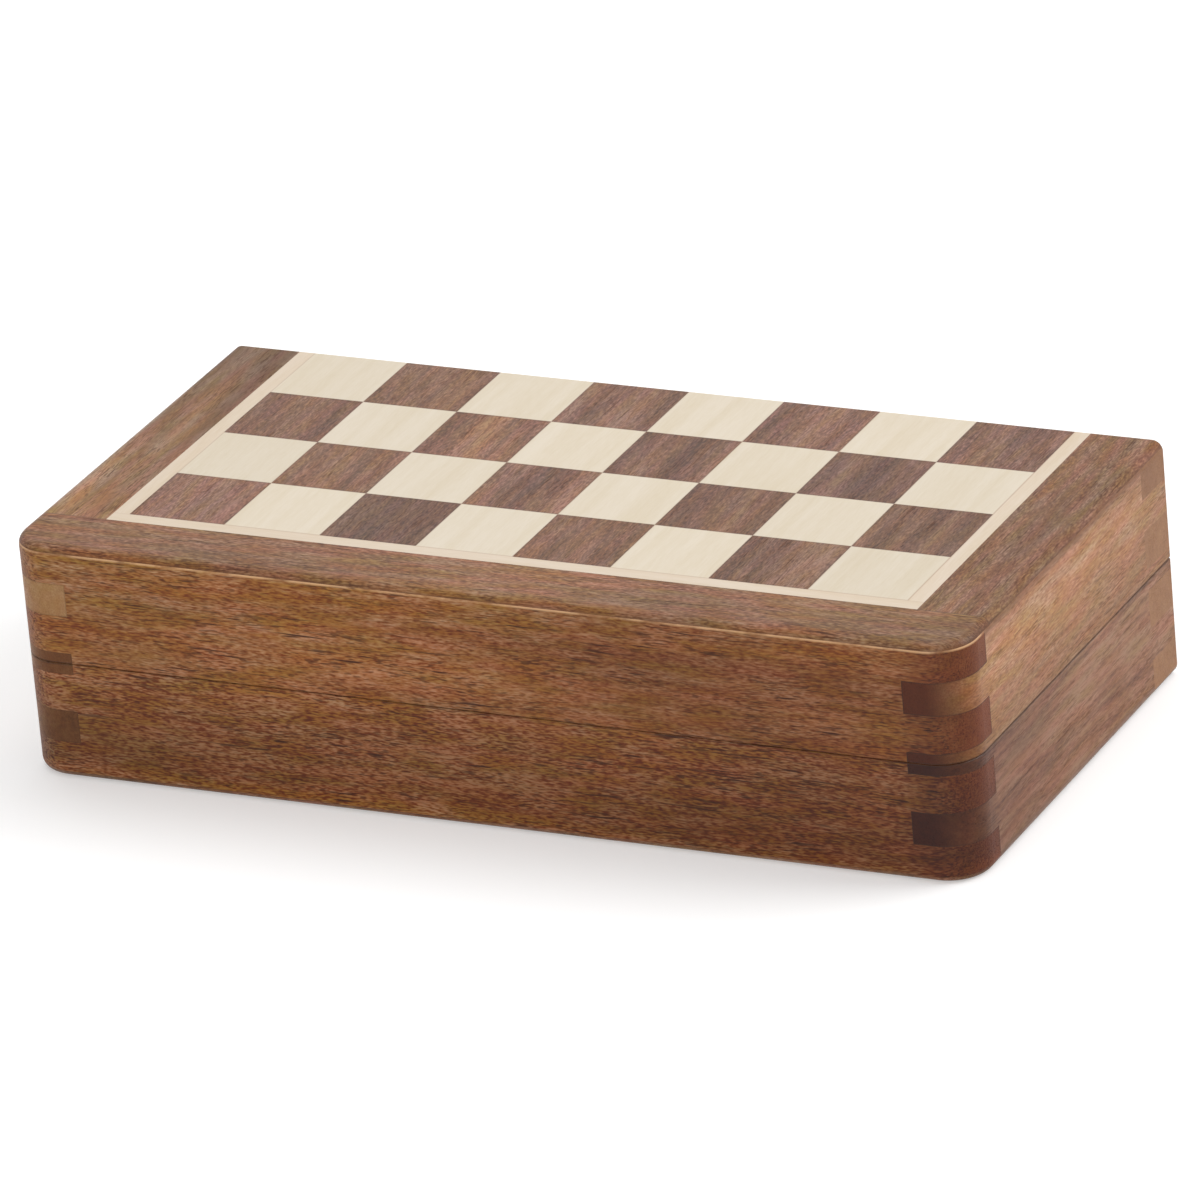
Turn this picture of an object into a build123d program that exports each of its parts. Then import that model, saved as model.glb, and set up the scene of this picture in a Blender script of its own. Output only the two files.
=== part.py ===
"""Folding chess box: two finger-jointed half boxes whose outer faces are the two halves of the board.

The closed box lies with the base half below and the lid half above, hinged along the back.
X runs along the eight columns, Y from the front to the hinge, Z up. The origin lies on the
table, below the middle of the closed box with its hinge barrels. Both halves are alike, so the
lid's pieces are the base's pieces turned by 180 degrees about the Y direction at the seam.
"""
from build123d import *
import os

# ---------------------------------------------------------------- driving dimensions, mm
# Board face of one half
SQUARE = 18.2
COLUMNS = 8
ROWS = 4
MAPLE_STRIP = 3.0
BORDER = 13.2
SKIN = 1.2              # thickness of the squares, the maple strips and the border

# Case of one half, from its board face to its rim
HALF_HEIGHT = 21.75
RIM_GAP = 0.1           # between the two rims of the closed box
LONG_WALL = 10.5        # front and back boards
SIDE_WALL = 11.0        # left and right boards
LONG_FINGER = 6.9       # height of a finger of the front and back boards
SIDE_FINGER = 6.0       # height of a finger of the left and right boards
CORNER_RADIUS = 7.4     # upright front corners, in plan
EDGE_RADIUS = 1.9       # round-over from the board face to the front and the sides
RIM_EASING = 0.1
BACK_EASING = 0.5       # along the rim at the hinge
ARRIS = 0.3             # upright back corners and the board's edge over the hinge

# Sealed board: plywood core with a steel sheet under the squares, for magnetic chessmen
CORE = 3.0
CORE_RABBET = 5.0       # how far the core reaches into the walls
STEEL = 0.4
STEEL_MARGIN = 2.0

# Felted tray: lining, one rail and short ribs, a slot for each chessman of one colour
LINING = 0.8
TRAY_DROP = 1.5         # lining, rail and ribs below the rim
RAIL = 4.0
RIB = 3.5
OFFICER_SLOT = 38.0     # front row of slots; the back row holds the pawns
DIVIDER_EASING = 0.8    # along the top edges of the rail and the ribs

# Closure magnets in the front rims
MAGNET_RADIUS = 3.0
MAGNET_LENGTH = 3.0
MAGNET_INSET = 30.0     # from the end of the box
MAGNET_RECESS = 0.1
BORE_CLEARANCE = 0.05   # round a magnet or a screw in the wood

# Butt hinges
HINGE_LENGTH = 22.0
HINGE_INSET = 34.0      # from the end of the box to the middle of a hinge
KNUCKLES = 3
KNUCKLE_RADIUS = 1.6
KNUCKLE_GAP = 0.15
BACK_CLEARANCE = 0.2    # from the back face to the hinge axis
PIN_RADIUS = 0.8
PIN_CLEARANCE = 0.05
PIN_PROUD = 0.3         # how far the pin stands out of the barrel at each end
LEAF = 1.0
LEAF_SEAT = 7.0         # how far the leaf lies on the rim
LEAF_CORNER = 0.6
MORTISE_CLEARANCE = 0.1
BARREL_CLEARANCE = 0.25
SCREW_OFFSET = 6.5      # from the middle of the hinge
SCREW_RADIUS = 0.8
SCREW_HEAD_RADIUS = 1.8
SCREW_LENGTH = 7.0
HEAD_CLEARANCE = 0.03

# ---------------------------------------------------------------- derived sizes and places
LENGTH = COLUMNS * SQUARE + 2 * (MAPLE_STRIP + BORDER)
DEPTH = ROWS * SQUARE + MAPLE_STRIP + BORDER
X_END = LENGTH / 2
X_INNER = X_END - SIDE_WALL
X_FIELD = COLUMNS * SQUARE / 2
X_HINGE = X_END - HINGE_INSET

Y_FRONT = -(DEPTH + BACK_CLEARANCE + KNUCKLE_RADIUS) / 2
Y_BACK = Y_FRONT + DEPTH
Y_AXIS = Y_BACK + BACK_CLEARANCE
Y_INNER_FRONT = Y_FRONT + LONG_WALL
Y_INNER_BACK = Y_BACK - LONG_WALL
Y_FIELD = Y_FRONT + BORDER + MAPLE_STRIP

Z_RIM = HALF_HEIGHT
Z_SEAM = HALF_HEIGHT + RIM_GAP / 2
Z_CORE_TOP = SKIN + CORE
Z_TRAY_FLOOR = Z_CORE_TOP + LINING
Z_TRAY_TOP = Z_RIM - TRAY_DROP

X_TRAY = X_INNER - LINING
Y_TRAY_FRONT = Y_INNER_FRONT + LINING
Y_TRAY_BACK = Y_INNER_BACK - LINING
Y_RAIL = Y_TRAY_FRONT + OFFICER_SLOT
SLOT_WIDTH = (2 * X_TRAY - (COLUMNS - 1) * RIB) / COLUMNS


def block(x, y, z):
    """A box from its low and high limits along X, Y and Z."""
    size = [high - low for low, high in (x, y, z)]
    return Pos(x[0], y[0], z[0]) * Box(*size, align=(Align.MIN, Align.MIN, Align.MIN))


def both_ends(shape):
    """A shape near the right end of the box and its mirror image at the left end."""
    return [shape, mirror(shape, about=Plane.YZ)]


def rod(radius, x_start, x_end):
    """A round bar along the hinge axis."""
    bar = Rot(0, 90, 0) * Cylinder(radius, x_end - x_start)
    return Pos((x_start + x_end) / 2, Y_AXIS, Z_SEAM) * bar


# ---------------------------------------------------------------- outer form of one half
def outer_form():
    """The sanded outside of one half, which every outer piece is trimmed to."""
    plan = Pos(0, Y_FRONT + DEPTH / 2) * Rectangle(LENGTH, DEPTH)
    plan = fillet(plan.vertices().group_by(Axis.Y)[0], CORNER_RADIUS)
    form = extrude(plan, HALF_HEIGHT)
    board_edges = form.edges().group_by(Axis.Z)[0].sort_by(Axis.Y)
    form = fillet(board_edges[:-1], EDGE_RADIUS)
    rim_edges = form.edges().group_by(Axis.Z)[-1].sort_by(Axis.Y)
    form = chamfer(rim_edges[:-1], RIM_EASING)
    back_rim = form.edges().filter_by(Axis.X).group_by(Axis.Y)[-1].sort_by(Axis.Z)[-1]
    form = chamfer(back_rim, BACK_EASING)
    back_board = form.edges().filter_by(Axis.X).group_by(Axis.Y)[-1].sort_by(Axis.Z)[0]
    form = chamfer(back_board, ARRIS)
    return chamfer(form.edges().filter_by(Axis.Z).group_by(Axis.Y)[-1], ARRIS)


# ---------------------------------------------------------------- board face
def board_squares(parity, form):
    """The squares of one colour: those whose column and row add up to that parity."""
    tiles = []
    for column in range(COLUMNS):
        for row in range(ROWS):
            if (column + row) % 2 == parity:
                x = -X_FIELD + column * SQUARE
                y = Y_FIELD + row * SQUARE
                tiles.append(block((x, x + SQUARE), (y, y + SQUARE), (0, SKIN)) & form)
    return tiles


def front_strip(inset, width, form):
    """A strip of the skin along the front, from end to end of the outline it frames."""
    y = Y_FRONT + inset
    return block((inset - X_END, X_END - inset), (y, y + width), (0, SKIN)) & form


def side_strip(side, inset, width, form):
    """A strip of the skin along one side, from the front strip back to the hinge edge."""
    x = sorted((side * (X_END - inset), side * (X_END - inset - width)))
    return block(x, (Y_FRONT + inset + width, Y_BACK), (0, SKIN)) & form


# ---------------------------------------------------------------- sealed board
def steel_sheet():
    """The sheet that holds magnetic chessmen, let into the core under the squares."""
    x = X_FIELD - STEEL_MARGIN
    y = (Y_FIELD + STEEL_MARGIN, Y_INNER_BACK + CORE_RABBET - STEEL_MARGIN)
    return block((-x, x), y, (SKIN, SKIN + STEEL))


def core_blank():
    """The plywood panel, which sits in a rabbet all round the inside of the walls."""
    x = X_INNER + CORE_RABBET
    y = (Y_INNER_FRONT - CORE_RABBET, Y_INNER_BACK + CORE_RABBET)
    return block((-x, x), y, (SKIN, Z_CORE_TOP))


# ---------------------------------------------------------------- finger-jointed walls
def side_fingers():
    """Heights of the side walls' fingers, from the board face to the sawn rim."""
    bands = []
    low = LONG_FINGER
    while low < HALF_HEIGHT:
        bands.append((low, min(low + SIDE_FINGER, HALF_HEIGHT)))
        low += SIDE_FINGER + LONG_FINGER
    return bands


def long_wall(y):
    """A front or back board, notched at both ends for the side walls' fingers."""
    wall = block((-X_END, X_END), y, (SKIN, Z_RIM))
    for band in side_fingers():
        wall -= both_ends(block((X_INNER, X_END), y, band))
    return wall


def side_wall(side):
    """A left or right board, with a finger into the front and the back at each band."""
    x = sorted((side * X_INNER, side * X_END))
    wall = block(x, (Y_INNER_FRONT, Y_INNER_BACK), (SKIN, Z_RIM))
    for band in side_fingers():
        wall += block(x, (Y_FRONT, Y_BACK), band)
    return wall


def magnet(radius, length):
    """A disc down from the front rim, near the right end."""
    disc = Cylinder(radius, length, align=(Align.CENTER, Align.CENTER, Align.MAX))
    return Pos(X_END - MAGNET_INSET, Y_FRONT + LONG_WALL / 2, Z_RIM) * disc


def closure_magnets():
    """The two magnets of one half, a little below the rim."""
    return both_ends(Pos(0, 0, -MAGNET_RECESS) * magnet(MAGNET_RADIUS, MAGNET_LENGTH))


def front_wall(form):
    """The board at the front, with a bore for each closure magnet."""
    bore = magnet(MAGNET_RADIUS + BORE_CLEARANCE, MAGNET_LENGTH + MAGNET_RECESS)
    return (long_wall((Y_FRONT, Y_INNER_FRONT)) - core_blank() - both_ends(bore)) & form


def back_wall(form):
    """The board that carries the hinges: a mortise, a barrel groove and pilot holes for each."""
    wall = (long_wall((Y_INNER_BACK, Y_BACK)) - core_blank()) & form
    half = HINGE_LENGTH / 2 + MORTISE_CLEARANCE
    mortise = block((X_HINGE - half, X_HINGE + half),
                    (Y_BACK - LEAF_SEAT - MORTISE_CLEARANCE, Y_AXIS), (Z_RIM - LEAF, Z_SEAM))
    half = HINGE_LENGTH / 2 + PIN_PROUD + BARREL_CLEARANCE
    groove = rod(KNUCKLE_RADIUS + BARREL_CLEARANCE, X_HINGE - half, X_HINGE + half)
    wall -= both_ends(mortise)
    wall -= both_ends(groove)
    for place in screw_places(X_HINGE):
        wall -= both_ends(place * screw_form(BORE_CLEARANCE))
    return wall


# ---------------------------------------------------------------- felted tray
def lining():
    """The felt, glued to the core and up the inside of the walls."""
    y = (Y_INNER_FRONT, Y_INNER_BACK)
    outside = block((-X_INNER, X_INNER), y, (Z_CORE_TOP, Z_TRAY_TOP))
    inside = block((-X_TRAY, X_TRAY), (Y_TRAY_FRONT, Y_TRAY_BACK), (Z_TRAY_FLOOR, Z_TRAY_TOP))
    return outside - inside


def rail():
    """The long divider between the officers' slots and the pawns' slots."""
    bar = block((-X_TRAY, X_TRAY), (Y_RAIL, Y_RAIL + RAIL), (Z_TRAY_FLOOR, Z_TRAY_TOP))
    return chamfer(bar.edges().filter_by(Axis.X).group_by(Axis.Z)[-1], DIVIDER_EASING)


def ribs(y):
    """The short dividers between neighbouring slots of one row."""
    pieces = []
    for number in range(1, COLUMNS):
        x = -X_TRAY + number * SLOT_WIDTH + (number - 1) * RIB
        bar = block((x, x + RIB), y, (Z_TRAY_FLOOR, Z_TRAY_TOP))
        pieces.append(chamfer(bar.edges().filter_by(Axis.Y).group_by(Axis.Z)[-1], DIVIDER_EASING))
    return pieces


# ---------------------------------------------------------------- hinges
def knuckle_span(number):
    """Start and end of one knuckle, from the middle of its hinge."""
    pitch = (HINGE_LENGTH + KNUCKLE_GAP) / KNUCKLES
    start = number * pitch - HINGE_LENGTH / 2
    return start, start + pitch - KNUCKLE_GAP


def screw_places(x):
    """Where the screws of the hinge at x pass the face of the base's leaf."""
    y = Y_BACK - LEAF_SEAT / 2
    return [Pos(x + offset, y, Z_RIM) for offset in (-SCREW_OFFSET, SCREW_OFFSET)]


def hinge_leaf(x, first_knuckle):
    """A leaf on the base's rim with every second knuckle, counted from the first one."""
    plate = Pos(x, Y_BACK - LEAF_SEAT, Z_RIM - LEAF) * Box(
        HINGE_LENGTH, LEAF_SEAT + BACK_CLEARANCE, LEAF, align=(Align.CENTER, Align.MIN, Align.MIN))
    plate = chamfer(plate.edges().filter_by(Axis.Z).group_by(Axis.Y)[0], LEAF_CORNER)
    for number in range(KNUCKLES):
        start, end = knuckle_span(number)
        if number % 2 == first_knuckle:
            plate += rod(KNUCKLE_RADIUS, x + start, x + end)
        else:
            plate -= block((x + start - KNUCKLE_GAP, x + end + KNUCKLE_GAP),
                           (Y_AXIS - KNUCKLE_RADIUS - BARREL_CLEARANCE, Y_AXIS),
                           (Z_RIM - LEAF, Z_RIM))
    plate -= rod(PIN_RADIUS + PIN_CLEARANCE, x - HINGE_LENGTH, x + HINGE_LENGTH)
    for place in screw_places(x):
        plate -= place * screw_form(HEAD_CLEARANCE)
    return plate


def hinge_pin(x):
    """A pin that stands a little proud of the barrel at each end."""
    half = HINGE_LENGTH / 2 + PIN_PROUD
    return rod(PIN_RADIUS, x - half, x + half)


def screw_form(clearance):
    """A countersunk screw, head up, with the middle of its head at the origin."""
    head = SCREW_HEAD_RADIUS + clearance
    shank = SCREW_RADIUS + clearance
    bottom = -SCREW_LENGTH - clearance
    profile = Polyline((0, 0), (head, 0), (shank, shank - head), (shank, bottom), (0, bottom),
                       close=True)
    return revolve(Plane.XZ * make_face(profile), Axis.Z)


def hinge_screws():
    """The four screws of one half."""
    return [place * screw_form(0) for x in (-X_HINGE, X_HINGE) for place in screw_places(x)]


# ---------------------------------------------------------------- assembly
def half_pieces():
    """Every piece of one half in the base's place, by its name."""
    form = outer_form()
    sheet = steel_sheet()
    core = core_blank()
    return {
        "front_wall": front_wall(form),
        "back_wall": back_wall(form),
        "left_wall": (side_wall(-1) - core) & form,
        "right_wall": (side_wall(1) - core) & form,
        "core_panel": core - sheet,
        "steel_sheet": sheet,
        "dark_squares": board_squares(1, form),
        "light_squares": board_squares(0, form),
        "front_maple_strip": front_strip(BORDER, MAPLE_STRIP, form),
        "left_maple_strip": side_strip(-1, BORDER, MAPLE_STRIP, form),
        "right_maple_strip": side_strip(1, BORDER, MAPLE_STRIP, form),
        "front_border": front_strip(0, BORDER, form),
        "left_border": side_strip(-1, 0, BORDER, form),
        "right_border": side_strip(1, 0, BORDER, form),
        "felt_lining": lining(),
        "long_rail": rail(),
        "officer_ribs": ribs((Y_TRAY_FRONT, Y_RAIL)),
        "pawn_ribs": ribs((Y_RAIL + RAIL, Y_TRAY_BACK)),
        "closure_magnets": closure_magnets(),
        "hinge_screws": hinge_screws(),
    }


def as_lid(shape):
    """The piece turned from the base's place to the same place in the lid."""
    return shape.rotate(Axis((0, 0, Z_SEAM), (0, 1, 0)), 180)


def lid_name(name):
    """The name of a piece once it is turned over, when left becomes right and right left."""
    side, _, rest = name.partition("_")
    return "_".join([{"left": "right", "right": "left"}.get(side, side), rest])


def save(node, shapes):
    """Write one node: a single solid, or a group of separate ones."""
    solids = [solid for shape in shapes for solid in shape.solids()]
    export_step(solids[0] if len(solids) == 1 else Compound(solids), f"parts/{node}.step")


def main():
    os.makedirs("parts", exist_ok=True)
    for name, shapes in half_pieces().items():
        shapes = shapes if isinstance(shapes, list) else [shapes]
        save(f"base_{name}", shapes)
        save(f"lid_{lid_name(name)}", [as_lid(shape) for shape in shapes])
    for side, x in (("left", -X_HINGE), ("right", X_HINGE)):
        save(f"{side}_hinge_base_leaf", [hinge_leaf(x, 0)])
        save(f"{side}_hinge_lid_leaf", [as_lid(hinge_leaf(-x, 1))])
        save(f"{side}_hinge_pin", [hinge_pin(x)])


main()
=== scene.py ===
"""Folding chess box: sheesham and maple board halves over finger-jointed walls, felted inside.

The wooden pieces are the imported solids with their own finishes. The felt, the dividers, the
magnets, the hinge leaves, the pins and the screws are modelled here in the place of theirs.
"""
import logging
import math
from collections.abc import Iterable, Mapping, Sequence
from dataclasses import dataclass, replace
from enum import Enum
from functools import cached_property
from typing import ClassVar

import bmesh
import bpy
from mathutils import Matrix, Vector


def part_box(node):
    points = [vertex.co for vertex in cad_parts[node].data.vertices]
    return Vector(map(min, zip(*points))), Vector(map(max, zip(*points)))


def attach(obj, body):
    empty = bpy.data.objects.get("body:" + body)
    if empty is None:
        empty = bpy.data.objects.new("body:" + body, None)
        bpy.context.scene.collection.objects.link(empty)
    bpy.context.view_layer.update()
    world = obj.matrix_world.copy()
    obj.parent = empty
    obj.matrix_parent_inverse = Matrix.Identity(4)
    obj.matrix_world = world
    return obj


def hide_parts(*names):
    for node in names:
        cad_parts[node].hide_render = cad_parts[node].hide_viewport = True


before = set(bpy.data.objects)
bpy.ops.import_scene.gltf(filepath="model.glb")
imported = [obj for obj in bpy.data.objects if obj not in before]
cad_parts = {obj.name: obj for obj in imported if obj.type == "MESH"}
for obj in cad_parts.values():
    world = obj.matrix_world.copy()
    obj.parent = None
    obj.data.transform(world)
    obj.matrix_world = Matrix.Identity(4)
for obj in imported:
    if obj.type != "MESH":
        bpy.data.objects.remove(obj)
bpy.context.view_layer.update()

LOG = logging.getLogger("chess_box")

MM = 0.001
TO_MM = 1000.0
TINY = 1e-6                 # in metres, how exactly vertices are told apart by their place
LOOKS_UP = 0.9              # least Z in the normal of a face that looks up
SEAM_Z = 21.8 * MM          # middle of the gap between the rims, and height of the hinge axis
SKIN = 1.2                  # thickness of the board's skin over the walls, in millimetres
X, Y, Z = range(3)          # numbers of the axes

# painted shade of the gap along the seam, and dirt in the joints round the fingers
GAP_SHADE_AND_DIRT = "#2A1A12"       # shadow and dirt in the seam and round the fingers
# a dark line along the glue under the skin, and painted shade below the round-over above it
GLUE_AND_SHADE = "#5E3A22"       # glue squeezed out under the skin, stained by the wood
# a thin satin film over open pores mirrors less than a thick gloss
LACQUER = {"IOR": 1.31, "Coat Weight": 0.08, "Coat Roughness": 0.14}
# settings of the Mix node for colours, which has its inputs at 6 and 7 and its output at 2
BLEND = {"out": 2, "data_type": "RGBA"}
STAIN = {**BLEND, "blend_type": "MULTIPLY"}

Socket = bpy.types.NodeSocket
Material = bpy.types.Material
BMesh = bmesh.types.BMesh
Pair = tuple[float, float]
Triple = tuple[float, float, float]
Colour = tuple[float, float, float, float]


def linear(code: str) -> Colour:
    """Turns an sRGB hex colour into the linear RGBA that a socket takes.

    Args:
        code: The colour as "#RRGGBB".

    Returns:
        Its linear red, green and blue, with an alpha of one.
    """
    parts = [int(code[i:i + 2], 16) / 255 for i in (1, 3, 5)]
    red, green, blue = (p / 12.92 if p <= 0.04045 else ((p + 0.055) / 1.055) ** 2.4 for p in parts)
    return red, green, blue, 1.0


class Half(Enum):
    """The two halves of the box, each of which is also a body of the model."""

    BASE = "base"
    LID = "lid"

    @property
    def turn(self) -> Matrix:
        """The move from the base's place to this half's place.

        Returns:
            The matrix that takes a piece there.
        """
        if self is Half.BASE:
            return Matrix.Identity(4)
        about = Matrix.Translation((0, 0, SEAM_Z))
        return about @ Matrix.Rotation(math.pi, 4, "Y") @ about.inverted()

    def height(self, z: float) -> float:
        """Height in millimetres, in this half, of a height given in the base."""
        return z if self is Half.BASE else 2 * SEAM_Z * TO_MM - z

    @property
    def glue(self) -> tuple[tuple[int, float], ...]:
        """The plane of the glue between the walls and the board's skin."""
        return ((Z, self.height(SKIN)),)

    def node(self, name: str) -> str:
        """Name of this half's CAD node or piece of that kind."""
        return f"{self.value}_{name}"


class Side(Enum):
    """The left and the right of the box, with the sign of its X."""

    LEFT = -1
    RIGHT = 1

    @property
    def word(self) -> str:
        """The side's name as the nodes spell it."""
        return self.name.lower()


class Grain(Enum):
    """The way the grain runs: the turn that lays it along the pattern's X, and its direction."""

    ALONG_X = (0.0, (1, 0, 0))
    ALONG_Y = (-math.pi / 2, (0, 1, 0))

    @property
    def turn(self) -> Triple:
        """Rotation of the Mapping node."""
        return 0.0, 0.0, self.value[0]

    @property
    def direction(self) -> Triple:
        """Unit vector along the fibres."""
        return self.value[1]


# ---------------------------------------------------------------- materials
class Graph:
    """Node tree of a material or of the surround, made a node at a time."""

    def __init__(self, name: str, kind: str = "materials") -> None:
        """Starts the empty tree of a new material or world.

        Args:
            name: Its name.
            kind: "materials" or "worlds".
        """
        self.owner = getattr(bpy.data, kind).new(name)
        self.owner.use_nodes = True
        self.tree = self.owner.node_tree
        self.tree.nodes.clear()

    def add(self, kind: str, *values: object, out: int | str = 0,
            stops: Sequence[tuple[float, str]] = (), **settings: object) -> Socket | None:
        """Adds a node with its settings and links.

        Args:
            kind: The node's type without its "ShaderNode" prefix, then its operation if it has
                one.
            *values: What its inputs take, in order: a value, a hex colour or a socket to link.
                A mapping gives them by name or number.
            out: The output to hand back.
            stops: Places and hex colours of a colour ramp.
            **settings: Properties of the node.

        Returns:
            The chosen output socket, or nothing for a node without outputs.
        """
        kind, *operation = kind.split()
        node = self.tree.nodes.new("ShaderNode" + kind)
        if operation:
            node.operation = operation[0]
        for name, value in settings.items():
            setattr(node, name, value)
        inputs: dict[int | str, object] = {}
        for number, value in enumerate(values):
            inputs.update(value if isinstance(value, Mapping) else {number: value})
        for socket, value in inputs.items():
            if isinstance(value, Socket):
                self.tree.links.new(value, node.inputs[socket])
            else:
                plain = linear(value) if isinstance(value, str) else value
                node.inputs[socket].default_value = plain
        for number, (place, colour) in enumerate(stops):
            elements = node.color_ramp.elements
            element = elements[number] if number < 2 else elements.new(place)
            element.position, element.color = place, linear(colour)
        return node.outputs[out] if len(node.outputs) else None

    @cached_property
    def place(self) -> Socket:
        """Object coordinates in millimetres."""
        here = self.add("TexCoord", out="Object")
        return self.add("VectorMath SCALE", here, {"Scale": TO_MM})

    @cached_property
    def normal(self) -> Socket:
        """The way the face looks."""
        return self.add("TexCoord", out="Normal")

    def finish(self, colour: Socket, rough: Socket | float, relief: Socket,
               bump: Pair, others: Mapping[str, object] | None = None) -> Material:
        """Closes the tree with a Principled surface.

        Args:
            colour: Its base colour.
            rough: Its roughness.
            relief: Height of its relief, about 0 to 1.
            bump: Depth of that relief in millimetres, and how much of it shows.
            others: Its other inputs, if any.

        Returns:
            The finished material.
        """
        depth, strength = bump
        normal = self.add("Bump", {"Height": relief, "Distance": depth * MM,
                                   "Strength": strength})
        shader = self.add("BsdfPrincipled", {"Base Color": colour, "Roughness": rough,
                                             "Normal": normal, **(others or {})})
        self.add("OutputMaterial", {"Surface": shader})
        return self.owner


class Faces(Enum):
    """The faces of a board that a painted line shows on."""

    ALL = "all"
    ENDS = "end grain"
    UPRIGHT = "upright"


@dataclass(frozen=True)
class Joints:
    """Thin lines where a piece meets its neighbours, painted on its own side of the joint.

    Attributes:
        planes: Axis number and place in millimetres of each joint plane.
        tint: Colour of the glue or the shadow in the joint.
        strength: How much of the line shows, from 0 to 1.
        width: Width of the line in millimetres.
        faces: The faces that they show on.
        broken: How much the line fades where it is thin, from 0 to 1.
    """

    planes: tuple[tuple[int, float], ...]
    tint: str
    strength: float
    width: float
    faces: Faces = Faces.ALL
    broken: float = 0.0

    BLENDING: ClassVar[dict[str, object]] = BLEND
    CORE: ClassVar[float] = 0.35      # share of the width that has the full strength
    FAR: ClassVar[float] = 9.0        # in millimetres, farther than any line is wide
    GAPS: ClassVar[float] = 0.16      # breaks in a broken line, to the millimetre
    # the noise's values where a broken line is thin and where it is whole
    THIN_AND_WHOLE: ClassVar[Pair] = (0.42, 0.56)
    # the Z of a face's normal where an upright face begins to lean, and where it is level
    UPRIGHT_AND_LEVEL: ClassVar[Pair] = (0.6, 0.95)

    def mask(self, graph: Graph, ends: Socket) -> Socket:
        """Builds the mask of the lines.

        Args:
            graph: The material's graph.
            ends: Mask of the end grain.

        Returns:
            A value from 0 to the strength.
        """
        axes = graph.add("SeparateXYZ", graph.place).node.outputs
        nearest: Socket | float = self.FAR
        for axis, plane in self.planes:
            gap = graph.add("Math SUBTRACT", axes[axis], plane)
            gap = graph.add("Math ABSOLUTE", gap)
            nearest = graph.add("Math MINIMUM", gap, nearest)
        line = graph.add("MapRange", nearest, self.width * self.CORE, self.width,
                         self.strength, 0.0)
        limits = [ends] if self.faces is Faces.ENDS else []
        if self.faces is Faces.UPRIGHT:
            tilt = graph.add("Math ABSOLUTE", graph.add("SeparateXYZ", graph.normal, out=Z))
            limits.append(graph.add("MapRange", tilt, *self.UPRIGHT_AND_LEVEL, 1.0, 0.0))
        if self.broken:
            thin = graph.add("TexNoise", {"Vector": graph.place, "Scale": self.GAPS,
                                          "Detail": 4.0})
            limits.append(graph.add("MapRange", thin, *self.THIN_AND_WHOLE, 1 - self.broken))
        for limit in limits:
            line = graph.add("Math MULTIPLY", line, limit)
        return line


# a painted shade line along the gap between the rims, on the upright faces
SEAM = Joints(((Z, SEAM_Z * TO_MM),), GAP_SHADE_AND_DIRT, 0.75, 0.35, Faces.UPRIGHT)


@dataclass(frozen=True)
class Drift:
    """A slow change of colour across a board, some of them painted shade by edges and corners.

    Attributes:
        ramps: Axis number, and the places in millimetres where the change starts and is full.
            With several of them, it shows where all have begun.
        tint: What the colour is multiplied by where the change is full.
        on_ends: Whether it shows only on end grain.
    """

    ramps: tuple[tuple[int, float, float], ...]
    tint: str
    on_ends: bool = False

    BLENDING: ClassVar[dict[str, object]] = STAIN

    def mask(self, graph: Graph, ends: Socket) -> Socket | float:
        """Builds the mask of the change.

        Args:
            graph: The material's graph.
            ends: Mask of the end grain.

        Returns:
            A value from 0 to 1.
        """
        axes = graph.add("SeparateXYZ", graph.place).node.outputs
        mask: Socket | float = ends if self.on_ends else 1.0
        for axis, start, full in self.ramps:
            ramp = graph.add("MapRange", axes[axis], start, full, interpolation_type="SMOOTHSTEP")
            mask = graph.add("Math MULTIPLY", ramp, mask)
        return mask


@dataclass(frozen=True)
class Figure:
    """Size of one feature of a wood's figure.

    Attributes:
        along: Its length along the grain, in millimetres.
        across: Its width across the grain, in millimetres.
        detail: Octaves of the noise that draws it.
    """

    along: float
    across: float
    detail: float = 2.0

    @property
    def scale(self) -> Triple:
        """Scale of the Mapping node that draws it out along the grain."""
        return 1 / self.along, 1 / self.across, 1 / self.across


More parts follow.
